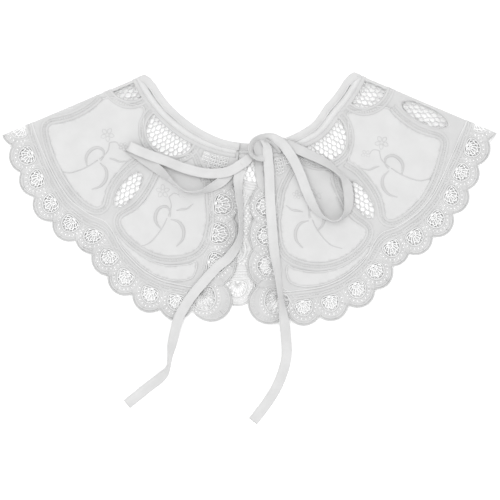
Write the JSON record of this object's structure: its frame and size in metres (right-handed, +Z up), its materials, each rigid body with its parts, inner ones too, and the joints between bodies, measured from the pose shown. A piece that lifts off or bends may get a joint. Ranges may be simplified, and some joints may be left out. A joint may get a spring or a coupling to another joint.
{
  "type": "lace collar",
  "caption": "Detachable lace collar with cloth petals, net fillings, a scalloped edge and a ribbon tie, lying flat and folded in half.",
  "frame": {"origin": "middle of the folded cloth, leaving out the ribbon, on the surface that it lies on", "axes": "+X towards the picture's right half of the collar, +Y from the hem towards the neck opening, +Z up from the surface, out of the fronts"},
  "size_m": [0.3942, 0.2821, 0.0118],
  "materials": {
    "tape_lace": "woven cotton tape, matt",
    "inset_cloth": "fine lawn, matt",
    "binding_cloth": "bias-cut lawn, matt",
    "tie_ribbon": "thin ribbon, slightly satiny"
  },
  "bodies": {
    "root": {"lace_front_left": "tape_lace", "lace_front_right": "tape_lace", "lace_back": "tape_lace", "binding_front_left": "binding_cloth", "binding_front_right": "binding_cloth", "binding_back": "binding_cloth", "loop_left": "tie_ribbon", "loop_right": "tie_ribbon", "tail_left": "tie_ribbon", "tail_right": "tie_ribbon", "knot": "tie_ribbon", "front_petal_left": "inset_cloth", "front_petal_right": "inset_cloth", "side_petal_left": "inset_cloth", "side_petal_right": "inset_cloth", "crescent_left": "inset_cloth", "crescent_right": "inset_cloth", "back_petal_left_1": "inset_cloth", "back_petal_left_2": "inset_cloth", "back_petal_right_1": "inset_cloth", "back_petal_right_2": "inset_cloth"}
  },
  "joints": []
}
